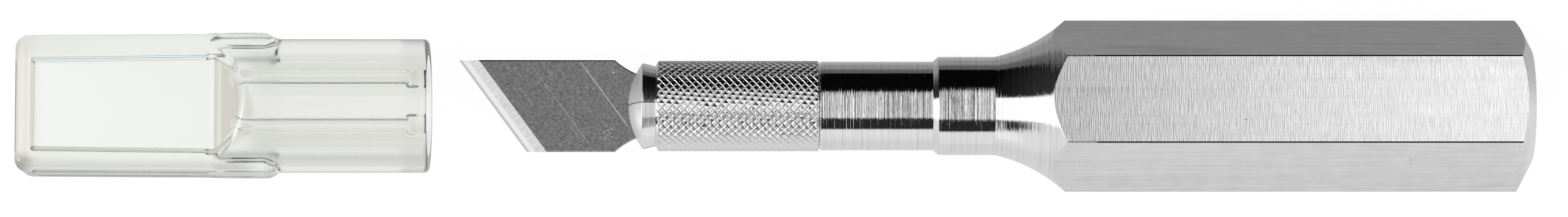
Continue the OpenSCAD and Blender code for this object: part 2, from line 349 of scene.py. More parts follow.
def bar_metal():
    """Bright drawn bar: turning lines round the neck and flare, brushing across the upper and lower flats."""
    material, nodes, shader = new_material("bar_metal")
    x, y, z = nodes.place()
    up = nodes.size(nodes.math("SUBTRACT", z, AXIS_Z))
    slanted = nodes.total((nodes.size(y), math.sqrt(0.75)), (up, 0.5))
    near_flat, on_flat = APOTHEM - 0.075, APOTHEM - 0.025
    level = nodes.step(up, near_flat, on_flat)
    flat = nodes.highest(level, nodes.step(slanted, near_flat, on_flat))
    turned = nodes.product(nodes.step(x, X_HEX + 4, X_HEX + 3), nodes.math("SUBTRACT", 1.0, flat))
    # Heights of the fine lines
    fine = nodes.noise((1, 0.004, 0.004), 3000)
    coarse = nodes.noise((1, 0.012, 0.012), 1300, detail=2)
    scuffs = nodes.noise((1, 0.12, 0.12), 5200, detail=2)
    brushed = nodes.noise((1, 0.06, 0.06), 7800, detail=4)
    drawn = nodes.noise((0.03, 1, 1), 3000, detail=2)
    lines = nodes.total((fine, 0.42), (coarse, 0.16), (scuffs, 0.08))
    level_height = nodes.total((brushed, 0.075), (drawn, 0.04))
    flat_height = nodes.mix(level, nodes.product(drawn, 0.045), level_height)
    height = nodes.mix(turned, flat_height, lines)
    # Shades of the flats, with faint clouds, bands, smudges and nicks, and of the turned rings
    slanted_shade = nodes.ramp(drawn, [(0.35, 0.86), (0.65, 0.92)])
    level_shade = nodes.ramp(brushed, [(0.35, 0.80), (0.65, 0.95)])
    cloud = nodes.ramp(nodes.noise((1, 1, 1), 420), [(0.35, 0.94), (0.65, 1.0)])
    nicks = nodes.ramp(nodes.noise((1, 1, 1), 1300, detail=2), [(0.75, 1.0), (0.78, 0.45)])
    bands = nodes.ramp(nodes.noise((0.02, 1, 1), 1000), [(0.35, 0.95), (0.65, 1.0)])
    smudges = nodes.ramp(nodes.noise((0.15, 1, 1), 240, detail=2), [(0.6, 1.0), (0.72, 0.84)])
    shade = nodes.product(nodes.mix(level, slanted_shade, level_shade), smudges, cloud, bands, nicks)
    ringed = nodes.ramp(fine, [(0.34, 0.76), (0.46, 0.9), (0.6, 0.94)])
    colour = nodes.mix(turned, shade, ringed)
    worn = nodes.ramp(nodes.noise((1, 0.35, 0.35), 2600, detail=4), [(0.56, 0.08), (0.74, 0.2)])
    rough = nodes.mix(turned, (0.09, 0.09, 0.09, 1), worn)
    connect(nodes, shader, Base_Color=colour, Roughness=rough, Normal=nodes.bump(height, 1.0, 0.1 * MM))
    shader.inputs["Metallic"].default_value = 1.0
    return material


def jaw_metal():
    """The collet: a satin nose, and a bright taper with faint turning lines."""
    material, nodes, shader = new_material("jaw_metal")
    x, _, _ = nodes.place()
    nose = nodes.step(x, X_HEAD, X_HEAD - 0.2)
    rough = nodes.ramp(nose, [(0, 0.12), (1, 0.35)])
    metal = nodes.ramp(nose, [(0, 1.0), (1, 0.4)])
    lines = nodes.noise((1, 0.01, 0.01), 5200)
    connect(nodes, shader, Roughness=rough, Metallic=metal, Normal=nodes.bump(lines, 0.25, 0.04 * MM))
    shader.inputs["Base Color"].default_value = (0.96, 0.96, 0.965, 1)
    return material


def knurl_metal():
    """The collar: bright, with a fine grain."""
    material, nodes, shader = new_material("knurl_metal")
    grain = nodes.noise((1, 1, 1), 2500)
    colour = nodes.ramp(grain, [(0.3, (0.78, 0.78, 0.785)), (0.7, (0.92, 0.92, 0.925))])
    rough = nodes.ramp(grain, [(0.3, 0.09), (0.7, 0.16)])
    connect(nodes, shader, Base_Color=colour, Roughness=rough)
    shader.inputs["Metallic"].default_value = 1.0
    return material


# Scratches on the blade: distance from the edge, start and end along it in millimetres, and strength
SCRATCHES = [
    (12.3, 9.2, 20.0, 1.0), (7.0, 4.6, 19.0, 0.3), (6.4, 14.8, 17.2, 0.4), (4.45, 3.5, 5.2, 0.5),
    (9.55, 7.9, 15.7, 0.15), (4.2, 6.0, 10.5, 0.12), (8.3, 6.0, 9.0, 0.15), (2.9, 8.0, 12.5, 0.12),
]
SCRATCH_HALF = 0.075
SCRATCH_FADE_L = 0.6
SCRATCH_GLEAM = 0.6
# Worn spots with bright specks: place and radius in millimetres
SPOTS = [(-87.2, 4.3, 0.7), (-87.9, -3.6, 1.3)]
SPOT_GLEAM = 0.6


def blade_steel():
    """Dark blade body with a few scratches along the edge; the ground bevel is a lighter grey with grind
    hatching, the hone strip beside the edge is painted bright as a painted highlight, and the very edge is
    painted darker as painted shade.
    """
    material, nodes, shader = new_material("blade_steel")
    tip = (X_TIP * MM, BLADE_W / 2 * MM, 0)
    place = nodes.add("TexCoord").outputs["Object"]
    from_tip = nodes.add("VectorMath", {0: place, 1: tip}, operation="SUBTRACT").outputs[0]
    turned = nodes.add("Mapping", {"Vector": place, "Rotation": (0, 0, EDGE_ANGLE)}).outputs[0]

    def measured(direction):
        """Millimetres from the tip in a direction on the face of the blade."""
        per_metre = (direction[0] / MM, direction[1] / MM, 0)
        return nodes.add("VectorMath", {0: from_tip, 1: per_metre}, operation="DOT_PRODUCT").outputs["Value"]

    def grain(stretch, scale, detail=3.0):
        thin = nodes.add("Mapping", {"Vector": turned, "Scale": stretch}).outputs[0]
        return nodes.add("TexNoise", {"Vector": thin, "Scale": scale, "Detail": detail}).outputs["Fac"]

    inset = measured((math.sin(EDGE_ANGLE), math.cos(EDGE_ANGLE)))
    along = measured((math.cos(EDGE_ANGLE), -math.sin(EDGE_ANGLE)))
    mottle = nodes.ramp(grain((1, 1, 1), 3600, 6), [(0.3, 0.235), (0.7, 0.485)])
    hairs = nodes.product(nodes.step(grain((0.015, 1, 1), 4200), 0.64, 0.74), 0.08)
    dust = grain((1, 1, 1), 3600, 2)
    specks = nodes.product(nodes.step(dust, 0.71, 0.77), 0.3)
    for x, y, radius in SPOTS:
        spot = (x * MM, y * MM, AXIS_Z * MM)
        away = nodes.add("VectorMath", {0: place, 1: spot}, operation="DISTANCE").outputs["Value"]
        inside = nodes.step(away, radius * MM, 0.4 * radius * MM)
        specks = nodes.highest(specks, nodes.product(inside, nodes.step(dust, 0.58, 0.66), SPOT_GLEAM))
    body = nodes.math("ADD", nodes.math("ADD", mottle, hairs), specks)
    for distance, start, end, strength in SCRATCHES:
        off = nodes.size(nodes.math("SUBTRACT", inset, distance))
        mark = nodes.product(
            nodes.step(off, SCRATCH_HALF, 0.4 * SCRATCH_HALF),
            nodes.step(along, start, start + SCRATCH_FADE_L),
            nodes.step(along, end, end - SCRATCH_FADE_L),
            strength * SCRATCH_GLEAM,
        )
        body = nodes.math("ADD", body, mark)
    hatch = nodes.ramp(grain((1, 0.05, 1), 5200), [(0.35, 0.64), (0.65, 0.80)])
    # Painted highlight and shade: the hone strip is painted bright and the very edge darker.
    past_edge_shade = nodes.step(inset, KEEN_W - 0.04, KEEN_W + 0.04)
    hone_highlight_and_edge_shade = nodes.mix(past_edge_shade, (0.58, 0.58, 0.585, 1), (0.87, 0.87, 0.875, 1))
    bevel = nodes.mix(nodes.step(inset, HONE_W - 0.03, HONE_W + 0.03), hone_highlight_and_edge_shade, hatch)
    colour = nodes.mix(nodes.step(inset, BEVEL_W - 0.02, BEVEL_W + 0.04), bevel, body)
    connect(nodes, shader, Base_Color=colour)
    shader.inputs["Metallic"].default_value = 1.0
    shader.inputs["Roughness"].default_value = 0.25
    return material


def sleeve_painted_shade_and_flow_lines(nodes, y):
    """Painted grey shade in bands beside the ribs and near the outer edges, and faint flow lines along the
    sleeve.
    """
    # Painted shade: grey bands across the sleeve beside the ribs and near its edges.
    bands = nodes.curve(nodes.size(y), 0, 9, [
        (0.5, 0.99), (2.4, (0.955, 0.96, 0.94)), (3.5, (0.915, 0.92, 0.895)), (6.0, (0.90, 0.908, 0.88)),
        (6.4, 1.0), (7.6, 1.0), (8.6, (0.91, 0.925, 0.90)),
    ])
    streaks = nodes.ramp(nodes.noise((0.02, 1, 1), 900), [(0.3, 0.95), (0.7, 1.0)])
    return nodes.mix(1.0, bands, streaks, blend="MULTIPLY")


def sheath_painted_shade(nodes, x, y):
    """Clear, with painted shade: greyer along the outer edge of the rail on the -Y side, warm grey at the
    closed end, a little greyer on the rails near that end, and dark grey in its corner on the -Y side.
    """
    clear = (0.985, 0.99, 0.978)
    # Painted shade along the outer edge of the rail on the -Y side.
    lower_rail_painted_shade = nodes.curve(y, -9, 9, [
        (-8.9, (0.86, 0.865, 0.85)), (-8.5, (0.72, 0.725, 0.70)), (-8.0, (0.63, 0.635, 0.61)),
        (-7.5, (0.79, 0.795, 0.77)), (-6.9, clear), (9, clear),
    ])
    # Painted shade: warm grey at the closed end.
    closed = nodes.curve(x, X_CAP, X_MOUTH, [
        (X_CAP + 0.3, (0.68, 0.63, 0.58)), (X_CAP + 0.9, (0.93, 0.91, 0.89)),
        (X_CAP + 1.9, (0.97, 0.96, 0.95)), (X_CAP + 3, 1.0),
    ])
    # Painted shade: the rails are a little greyer near the closed end.
    rails = nodes.product(nodes.step(nodes.size(y), 5.9, 6.6), nodes.step(x, X_CAP + 16, X_CAP + 2))
    rails_painted_shade = nodes.mix(1.0, closed, (0.93, 0.93, 0.93, 1), blend="MULTIPLY")
    closed = nodes.mix(rails, closed, rails_painted_shade)
    # Painted shade: dark grey in the corner of the closed end on the -Y side.
    corner = nodes.product(nodes.step(y, -5.8, -7.6), nodes.step(x, X_CAP + 3, X_CAP + 0.6))
    closed = nodes.mix(corner, closed, (0.28, 0.28, 0.26, 1))
    return nodes.mix(1.0, lower_rail_painted_shade, closed, blend="MULTIPLY")


def clear_plastic():
    """Clear moulded plastic, a little grey in depth, with painted shade on the sheath, the sleeve and the
    ramp.
    """
    material, nodes, shader = new_material("clear_plastic")
    x, y, _ = nodes.place()
    x_round = X_RAMP + CAP_BORE_R - POCKET_T / 2
    in_sleeve = nodes.step(x, x_round - 1.5, x_round + 2)
    sleeve = sleeve_painted_shade_and_flow_lines(nodes, y)
    colour = nodes.mix(in_sleeve, sheath_painted_shade(nodes, x, y), sleeve)
    # The ramp between the pocket and the bore is painted warm grey, as painted shade.
    chord = nodes.math("SQRT", nodes.math("SUBTRACT", CAP_BORE_R ** 2, nodes.product(y, y)))
    ramp_end = nodes.math("ADD", chord, X_RAMP - POCKET_T / 2)
    ramp_painted_shade = nodes.product(
        nodes.step(nodes.math("SUBTRACT", ramp_end, x), -0.1, 0.3),
        nodes.step(x, X_RAMP - 0.1, X_RAMP + 0.4),
    )
    colour = nodes.mix(ramp_painted_shade, colour, (0.86, 0.845, 0.815, 1))
    # The ramp is also rougher than the polished faces, and so are the rear ends of the rails beside it, and
    # the mouth.
    rough = nodes.curve(x, X_CAP, X_MOUTH, [
        (X_RAMP - 1.5, 0.03), (X_RAMP, 0.16), (X_RAILS, 0.16), (X_RAILS + 1, 0.05),
        (X_MOUTH - 4, 0.05), (X_MOUTH - 3, 0.16),
    ])
    connect(nodes, shader, Base_Color=colour, Roughness=rough)
    shader.inputs["IOR"].default_value = 1.49
    shader.inputs["Transmission Weight"].default_value = 1.0
    depth = nodes.add("VolumeAbsorption", {"Color": (0.84, 0.86, 0.80, 1), "Density": 70.0})
    output = next(node for node in nodes.tree.nodes if node.type == "OUTPUT_MATERIAL")
    nodes.tree.links.new(depth.outputs[0], output.inputs["Volume"])
    return material


# Handle

def handle_outline():
    """Station and radius pairs of the turned outline, from the bottom of the hole round to the rear end."""
    hex_r = HEX_AF / math.sqrt(3)
    end_angle = math.acos(math.cos(FLARE_ANGLE) - (hex_r - SHOULDER_R) / FLARE_R)
    x_flare = X_HEX - FLARE_R * (math.sin(end_angle) - math.sin(FLARE_ANGLE))
    x_shoulder = x_flare - SHOULDER_L
    flare_x = x_flare - FLARE_R * math.sin(FLARE_ANGLE)
    flare_r = SHOULDER_R + FLARE_R * math.cos(FLARE_ANGLE)

    def on_flare(radius):
        return (flare_x + math.sqrt(FLARE_R ** 2 - (flare_r - radius) ** 2), radius)

    def on_chamfer(radius):
        return (X_REAR - (radius - END_FLAT_R) * END_SLOPE, radius)

    neck = rounded(
        [
            (X_NECK, HOLE_R),
            (X_NECK, NECK_R - NECK_CHAMFER),
            (X_NECK + NECK_CHAMFER, NECK_R),
            (x_shoulder - SHOULDER_CHAMFER, NECK_R),
            (x_shoulder, SHOULDER_R),
            (x_flare, SHOULDER_R),
        ],
        EDGE_ROUND,
    )
    # Above the apothem the radii follow equal steps of the half angle that each flat spans.
    curve_points, grip_points = 25, 13
    flat_half = math.acos(APOTHEM / CORNER_R)
    arch = [APOTHEM / math.cos(a) for a in np.linspace(0, flat_half, curve_points)]
    arch[-1] = CORNER_R
    flare = [on_flare(r) for r in np.linspace(SHOULDER_R, APOTHEM, curve_points)[1:]]
    flare += [on_flare(r) for r in arch[1:]]
    chamfer = [on_chamfer(r) for r in reversed(arch)]
    end = rounded([chamfer[-1], on_chamfer(END_FLAT_R), (X_REAR, END_FLAT_R / 2)], END_ROUND)
    grip = [(x, CORNER_R) for x in np.linspace(flare[-1][0], chamfer[0][0], grip_points)[1:-1]]
    return [(X_NECK + HOLE_L, HOLE_R)] + neck + flare + grip + chamfer + end[1:]


def make_handle(material):
    mesh_data = bmesh.new()
    outline = handle_outline()
    corner_steps, flat_steps = 12, 8
    sixth = math.pi / 3
    for k in range(6):
        middle = math.pi / 2 + k * sixth
        rows, flat_rows = [], []
        for x, radius in outline:
            half = math.acos(min(1.0, APOTHEM / radius)) if radius > APOTHEM else 0.0
            angles = np.linspace(middle + half, middle + sixth - half, corner_steps + 1)
            rows.append([polar(x, radius, a) for a in angles])
            if radius >= APOTHEM - 1e-9:
                tilts = np.linspace(-math.tan(half), math.tan(half), flat_steps + 1)
                flat_rows.append([
                    (
                        x,
                        APOTHEM * (math.cos(middle) - t * math.sin(middle)),
                        AXIS_Z + APOTHEM * (math.sin(middle) + t * math.cos(middle)),
                    )
                    for t in tilts
                ])
        add_strips(mesh_data, rows, closed=False)
        add_strips(mesh_data, flat_rows, closed=False)
    weld(mesh_data)
    bmesh.ops.holes_fill(mesh_data, edges=[e for e in mesh_data.edges if e.is_boundary], sides=0)
    bmesh.ops.recalc_face_normals(mesh_data, faces=mesh_data.faces)
    return finish_mesh("handle_bar", mesh_data, material, "handle", "hex_handle", sharp=12)


# Collar

def add_diamond(mesh_data, u, v, wear):
    """One knurl diamond at place u around the collar and v along it, both counted in diamonds."""
    flat = KNURL_MID * KNURL_FLAT / KNURL_MID_DEEP
    x_middle = (X_RIM + X_HEEL) / 2
    step = np.interp(KNURL_SHALLOW, (KNURL_MID_DEEP, KNURL_DEEP), (KNURL_MID, 1))

    def point(p, q):
        depths = [
            np.interp(abs(t), (0, KNURL_MID, 1), (0, KNURL_MID_DEEP, full))
            for t, full in ((p, KNURL_DEEP), (q, KNURL_SHALLOW))
        ]
        on_top = max(abs(p), abs(q)) < KNURL_MID
        depth = max(depths) - KNURL_FLAT + wear * on_top
        along = v - (p - q) / 4
        angle = 2 * math.pi * (u + (p + q) / 4 + KNURL_LEAN * along) / KNURL_COUNT
        return mesh_data.verts.new(polar(x_middle + KNURL_PITCH * along, CREST_R - depth, angle))

    corners = ((-1, -1), (1, -1), (1, 1), (-1, 1))
    top = [point(p * flat, q * flat) for p, q in corners]
    crown = [point(p * KNURL_MID, q * KNURL_MID) for p, q in corners]
    left = [point(p, q) for p, q in ((-step, 1), (-1, 1), (-1, -1), (-step, -1))]
    right = [point(p, q) for p, q in ((step, -1), (1, -1), (1, 1), (step, 1))]
    mesh_data.faces.new(top)
    for i in range(4):
        mesh_data.faces.new([top[i], crown[i], crown[(i + 1) % 4], top[(i + 1) % 4]])
    mesh_data.faces.new([crown[0], crown[3], *left])
    mesh_data.faces.new([crown[2], crown[1], *right])
    mesh_data.faces.new([crown[3], crown[2], right[3], left[0]])
    mesh_data.faces.new([crown[1], crown[0], left[3], right[0]])


def add_knurl(mesh_data):
    """Staggered rows of diamonds, worn a little unevenly, along more than the length of the collar."""
    draw = random.Random(4)
    spare_rows = 3
    half_rows = int((X_HEEL - X_RIM) / KNURL_PITCH) + spare_rows
    for j in range(-half_rows, half_rows + 1):
        for i in range(KNURL_COUNT):
            add_diamond(mesh_data, i + 0.5 * (j % 2), j / 2, draw.uniform(0, KNURL_WEAR))
    bmesh.ops.remove_doubles(mesh_data, verts=mesh_data.verts, dist=WELD_GAP)


def cut_ends(mesh_data):
    """Cuts the knurl to length; more cuts near both ends carry the cones of the chamfers."""
    cuts = [(X_RIM, True, False), (X_HEEL, False, True)]
    cuts += [(X_RIM + d, False, False) for d in (0.15, 0.3, 0.45, 0.6)]
    cuts += [(X_HEEL - d, False, False) for d in (0.1, 0.2, 0.3, 0.45)]
    for x, clear_front, clear_rear in cuts:
        geometry = mesh_data.verts[:] + mesh_data.edges[:] + mesh_data.faces[:]
        bmesh.ops.bisect_plane(
            mesh_data, geom=geometry, plane_co=(x, 0, 0), plane_no=(1, 0, 0),
            clear_inner=clear_front, clear_outer=clear_rear,
        )
    for vert in mesh_data.verts:
        y, z = vert.co.y, vert.co.z - AXIS_Z
        radius = math.hypot(y, z)
        from_rim, from_heel = vert.co.x - X_RIM, X_HEEL - vert.co.x
        limit = min(RIM_R + RIM_SLOPE * from_rim, HEEL_R + HEEL_SLOPE * from_heel)
        if radius > limit:
            vert.co.y *= limit / radius
            vert.co.z = AXIS_Z + z * limit / radius


def add_collar_bore(mesh_data):
    """The conical seat of the jaws and the bore, drawn in from both rims and joined."""
    loops = []
    inside = {
        X_RIM: [(X_RIM, SEAT_R), (X_RIM + SEAT_L, COLLAR_BORE_R)],
        X_HEEL: [(X_HEEL, COLLAR_BORE_R + HEEL_CHAMFER), (X_HEEL - HEEL_CHAMFER, COLLAR_BORE_R)],
    }
    for x_end, steps in inside.items():
        edges = [e for e in mesh_data.edges if e.is_boundary and abs(e.verts[0].co.x - x_end) < 1e-3]
        for x, radius in steps:
            grown = bmesh.ops.extrude_edge_only(mesh_data, edges=edges)["geom"]
            edges = [g for g in grown if isinstance(g, bmesh.types.BMEdge)]
            for vert in [g for g in grown if isinstance(g, bmesh.types.BMVert)]:
                angle = math.atan2(vert.co.z - AXIS_Z, vert.co.y)
                vert.co = polar(x, radius, angle)
        loops += edges
    bmesh.ops.bridge_loops(mesh_data, edges=loops)


def make_collar(material):
    mesh_data = bmesh.new()
    add_knurl(mesh_data)
    cut_ends(mesh_data)
    add_collar_bore(mesh_data)
    bmesh.ops.recalc_face_normals(mesh_data, faces=mesh_data.faces)
    return finish_mesh("knurled_sleeve", mesh_data, material, "collar", "knurled_collar", sharp=8)


# Collet

def jaw_outline():
    """Station and radius pairs of a jaw, from the tip of its dome back to the root of the saw cuts."""
    x_shank = X_HEAD + (HEAD_R - SHANK_R) / math.tan(TAPER_ANGLE)
    inner = math.hypot(SLOT_HALF, SLIT_HALF)
    dome_points = 24
    radii = np.linspace(inner, HEAD_R, dome_points)
    nose = [(X_NOSE + DOME_R - math.sqrt(DOME_R ** 2 - r ** 2), r) for r in radii]
    back = [(X_HEAD, HEAD_R), (x_shank, SHANK_R), (X_NOSE + JAW_L, SHANK_R)]
    return rounded(nose + back, HEAD_ROUND, steps=5)


def add_jaws(mesh_data):
    """Four jaws between the wide slot of the blade and the thin cross slit."""
    steps = 20
    outline = jaw_outline()
    for quarter in range(4):
        rows = []
        turn = quarter * math.pi / 2
        for x, radius in outline:
            slit = np.interp(x, (X_NOSE, X_NOSE + SLIT_CLOSE_L), (SLIT_FRONT_HALF, SLIT_BACK_HALF))
            low, high = (SLOT_HALF, slit) if quarter % 2 == 0 else (slit, SLOT_HALF)
            start = math.asin(min(1.0, low / radius))
            end = math.pi / 2 - math.asin(min(1.0, high / radius))
            corner = polar(x, math.hypot(low, high), turn + math.atan2(low, high))
            rows.append([corner] + [polar(x, radius, turn + a) for a in np.linspace(start, end, steps + 1)])
        made = add_strips(mesh_data, rows, closed=True)
        mesh_data.faces.new(made[-1])
    weld(mesh_data)


def shank_mesh():
    """The shank behind the jaws and the stem, turned about the axis."""
    shank = bmesh.new()
    ring_points = 48
    axis_r = 0.01  # the first and last rings are almost closed, and are then filled
    x_start = X_NOSE + JAW_L - JAW_OVERLAP
    x_stop = X_HEEL - 2 * THREAD_PITCH
    outline = [
        (x_start, axis_r),
        (x_start, SHANK_R),
        (x_stop - SHANK_CHAMFER, SHANK_R),
        (x_stop, SHANK_R - SHANK_CHAMFER),
        (x_stop, STEM_R),
        (X_STEM - STEM_CHAMFER, STEM_R),
        (X_STEM, STEM_R - STEM_CHAMFER),
        (X_STEM, axis_r),
    ]
    angles = [2 * math.pi * i / ring_points for i in range(ring_points)]
    add_strips(shank, [[polar(x, r, a) for a in angles] for x, r in outline], closed=True)
    bmesh.ops.holes_fill(shank, edges=[e for e in shank.edges if e.is_boundary], sides=0)
    bmesh.ops.recalc_face_normals(shank, faces=shank.faces)
    mesh = bpy.data.meshes.new("shank")
    shank.to_mesh(mesh)
    shank.free()
    return mesh


def make_collet(material):
    mesh_data = bmesh.new()
    add_jaws(mesh_data)
    shank = shank_mesh()
    mesh_data.from_mesh(shank)
    bpy.data.meshes.remove(shank)
    return finish_mesh("collet_jaws", mesh_data, material, "collet", "collet")


# Blade

def make_blade(material):
    """The solid blade with its outer edges eased, except along the cutting edge."""
    mesh_data = bmesh.new()
    mesh_data.from_mesh(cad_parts["blade"].data)
    bmesh.ops.scale(mesh_data, vec=(1 / MM, 1 / MM, 1 / MM), verts=mesh_data.verts)
    weld(mesh_data)
    edges = []
    for edge in mesh_data.edges:
        tilts = sorted(abs(face.normal.z) for face in edge.link_faces)
        insets = [
            (v.co.x - X_TIP) * math.sin(EDGE_ANGLE) + (v.co.y - BLADE_W / 2) * math.cos(EDGE_ANGLE)
            for v in edge.verts
        ]
        side_meets_face = len(tilts) == 2 and tilts[0] < 0.2 and tilts[1] > 0.95
        if side_meets_face and min(insets) > BEVEL_W - 0.01:
            edges.append(edge)
    bmesh.ops.bevel(mesh_data, geom=edges, offset=BLADE_EASE, segments=1, affect="EDGES")
    return finish_mesh("ground_blade", mesh_data, material, "blade", "blade", sharp=12)


# Cap, as a distance field: negative inside the plastic, with true fillets where forms meet

def meet_round(a, b, radius):
    """Where both forms are, with the edge between them rounded off."""
    edge = np.hypot(np.maximum(radius + a, 0), np.maximum(radius + b, 0))
    return np.minimum(-radius, np.maximum(a, b)) + edge


def join_round(a, b, radius):
    """Where either form is, with the corner between them filled."""
    return -meet_round(-a, -b, radius)


def rounded_rectangle(x, y, half_x, half_y, radius):
    qx, qy = np.abs(x) - half_x + radius, np.abs(y) - half_y + radius
    return np.hypot(np.maximum(qx, 0), np.maximum(qy, 0)) + np.minimum(np.maximum(qx, qy), 0) - radius


SLOPE = math.sqrt(0.5)  # turns an offset along an axis into the distance from a 45 degree ramp


def cap_outside(x, y, z):
    """The flat sheath, and the round sleeve that ramps up from it."""
    drafted = SHEATH_W / 2 - SHEATH_DRAFT / 2 * np.clip(1 - (x - X_CAP) / SHEATH_L, 0, 1)
    plan = rounded_rectangle(x - X_CAP - SHEATH_L, y, SHEATH_L, drafted, SHEATH_CORNER)
    ease_before, ease_l = 1, 1.5
    ease = np.clip((x - X_RAMP + ease_before) / ease_l, 0, 1)
    sheath = meet_round(plan, np.abs(z) - SHEATH_T / 2, SHEATH_EDGE + (RAIL_EDGE - SHEATH_EDGE) * ease)
    bevel_y = (x - X_RAILS + (np.abs(y) - SHEATH_W / 2 + RAIL_BEVEL) * 2) / math.sqrt(5)
    bevel_z = (x - X_RAILS + np.abs(z) - SHEATH_T / 2 + RAIL_BEVEL_UP) * SLOPE
    rail_end = np.maximum(np.maximum(bevel_y, bevel_z), x - X_RAILS)
    sheath = meet_round(sheath, rail_end, RAMP_ROUND)
    x_outer = X_RAMP - SLEEVE_WALL + (SHEATH_T - POCKET_T) / 2
    outer_ramp = (np.abs(z) - SHEATH_T / 2 - (x - x_outer)) * SLOPE
    sleeve = meet_round(np.hypot(y, z) - SLEEVE_R, outer_ramp, RAMP_ROUND)
    sleeve = meet_round(sleeve, x - X_MOUTH, MOUTH_EDGE)
    return join_round(sheath, sleeve, SLEEVE_FILLET)


def cap_ribs(x, y, z):
    """The gripping ribs in the bore, with wider pads and a lead-in at the mouth."""
    radial = np.hypot(y, z)
    angle = np.arctan2(np.abs(y), np.abs(z)) - RIB_ANGLE
    across = np.abs(radial * np.sin(angle))
    pad = meet_round(across - PAD_W / 2, X_MOUTH - PAD_L - x, PAD_ROUND)
    across = join_round(across - RIB_W / 2, pad, PAD_FILLET)
    lead = (radial - RIB_R) * 0.9 - (x - X_MOUTH + LEAD_IN) * 0.45  # a rise of about 1 in 2
    rib = meet_round(across, RIB_R - radial, RIB_ROUND)
    rib = meet_round(rib, -lead, LEAD_ROUND)
    x_rib = X_RAMP + (CAP_BORE_R - POCKET_T / 2) / 2
    return np.maximum(rib, x_rib - x)


def cap_hollow(x, y, z):
    """The pocket of the blade, ramped into the bore, less the ribs that stand in it."""
    drafted = POCKET_HALF - POCKET_DRAFT * np.clip((X_RAMP - x) / POCKET_L, 0, 1)
    pocket = rounded_rectangle(y, z, drafted, POCKET_T / 2, POCKET_CORNER)
    pocket = meet_round(pocket, X_POCKET - x, POCKET_END_ROUND)
    pocket_past_ramp, bore_before_ramp = 2, 1
    pocket = np.maximum(pocket, x - X_RAMP - pocket_past_ramp)
    inner_ramp = (np.abs(z) - POCKET_T / 2 - (x - X_RAMP)) * SLOPE
    bore = meet_round(np.hypot(y, z) - CAP_BORE_R, inner_ramp, RAMP_ROUND)
    bore = np.maximum(bore, X_RAMP - bore_before_ramp - x)
    hollow = join_round(pocket, bore, HOLLOW_FILLET)
    return meet_round(hollow, -cap_ribs(x, y, z), RIB_FILLET)


def cap_field(x, y, z):
    """Distance to the cap's surface from points in millimetres; z is counted from the axis."""
    return meet_round(cap_outside(x, y, z), -cap_hollow(x, y, z), RIM_ROUND)


def slopes_of(field, points, reach):
    """How the field changes across each point, over twice the reach along each axis."""
    changes = [field(*(points + reach * e).T) - field(*(points - reach * e).T) for e in np.eye(3)]
    return np.stack(changes, axis=1)


def surface_net(field, low, step):
    """A net of quads over the zero level of a field sampled on a grid, one point in each cell it crosses."""
    cells = tuple(n - 1 for n in field.shape)

    def shifted(grid, corner):
        return grid[tuple(slice(c, c + n) for c, n in zip(corner, cells))]

    count = np.zeros(cells)
    total = np.zeros(cells + (3,))
    for axis in range(3):
        for side in range(4):
            corner = [side // 2, side % 2]
            corner.insert(axis, 0)
            far = list(corner)
            far[axis] = 1
            a, b = shifted(field, corner), shifted(field, far)
            crossed = (a < 0) != (b < 0)
            place = np.tile(np.array(corner, float), (int(crossed.sum()), 1))
            place[:, axis] += a[crossed] / (a[crossed] - b[crossed])
            total[crossed] += place
            count[crossed] += 1
    used = count > 0
    index = np.full(cells, -1)
    index[used] = np.arange(int(used.sum()))
    points = np.argwhere(used) + total[used] / count[used][:, None]
    inside = field < 0
    quads = []
    for axis in range(3):
        others = [k for k in range(3) if k != axis]
        if axis == 1:
            others.reverse()
        start, stop = [slice(1, -1)] * 3, [slice(1, -1)] * 3
        start[axis], stop[axis] = slice(0, -1), slice(1, None)
        here, there = inside[tuple(start)], inside[tuple(stop)]
        for outward in (True, False):
            spots = np.argwhere((here != there) & (here == outward)) + 1
            spots[:, axis] -= 1
            ring = []
            for back in ((0, 0), (1, 0), (1, 1), (0, 1)):
                spot = spots.copy()
                spot[:, others[0]] -= back[0]
                spot[:, others[1]] -= back[1]
                ring.append(index[tuple(spot.T)])
            quads.append(np.stack(ring if outward else ring[::-1], axis=1))
    return low + step * points, np.concatenate(quads)


def settle(points, field, step, rounds=4):
    """Moves net points onto the zero level of the field."""
    reach = 1e-3
    least = 0.25
    for _ in range(rounds):
        here = field(*points.T)
        slope = slopes_of(field, points, reach) / (2 * reach)
        size = np.maximum((slope ** 2).sum(axis=1), least)
        move = (here / size)[:, None] * slope
        points = points - np.clip(move, -step / 2, step / 2)
    return points


def make_cap(material):
    margin = 2 * CAP_STEP
    low = np.array([X_CAP, -SHEATH_W / 2, -SLEEVE_R]) - margin
    high = np.array([X_MOUTH, SHEATH_W / 2, SLEEVE_R]) + margin
    axes = [np.arange(a, b, CAP_STEP) for a, b in zip(low, high)]
    grid = np.meshgrid(*axes, indexing="ij")
    points, quads = surface_net(cap_field(*grid), low, CAP_STEP)
    points = settle(points, cap_field, CAP_STEP)
    reach = 0.02
    slopes = slopes_of(cap_field, points, reach)
    normals = slopes / np.maximum(np.linalg.norm(slopes, axis=1, keepdims=True), 1e-9)
    points = points + np.array([0, 0, AXIS_Z])
    mesh = bpy.data.meshes.new("cap_net")
    mesh.from_pydata(points.tolist(), [], quads.tolist())
    mesh_data = bmesh.new()
    mesh_data.from_mesh(mesh)
    bpy.data.meshes.remove(mesh)
    bmesh.ops.recalc_face_normals(mesh_data, faces=mesh_data.faces)
    cap = finish_mesh("clear_cap", mesh_data, material, "cap", "safety_cap", sharp=180)
    cap.data.normals_split_custom_set_from_vertices(normals.tolist())
    return cap


# Studio: black on the +Y side, white on the -Y side; x, y and z are parts of a direction in the leaned frame

SOFTBOX_POWER = 1.2
FRONT_POWER = 6.0
BLUE_CARD = (0.0, 0.52, 0.86, 1)
GREEN_CARD = (0.8, 0.83, 0.6, 1)


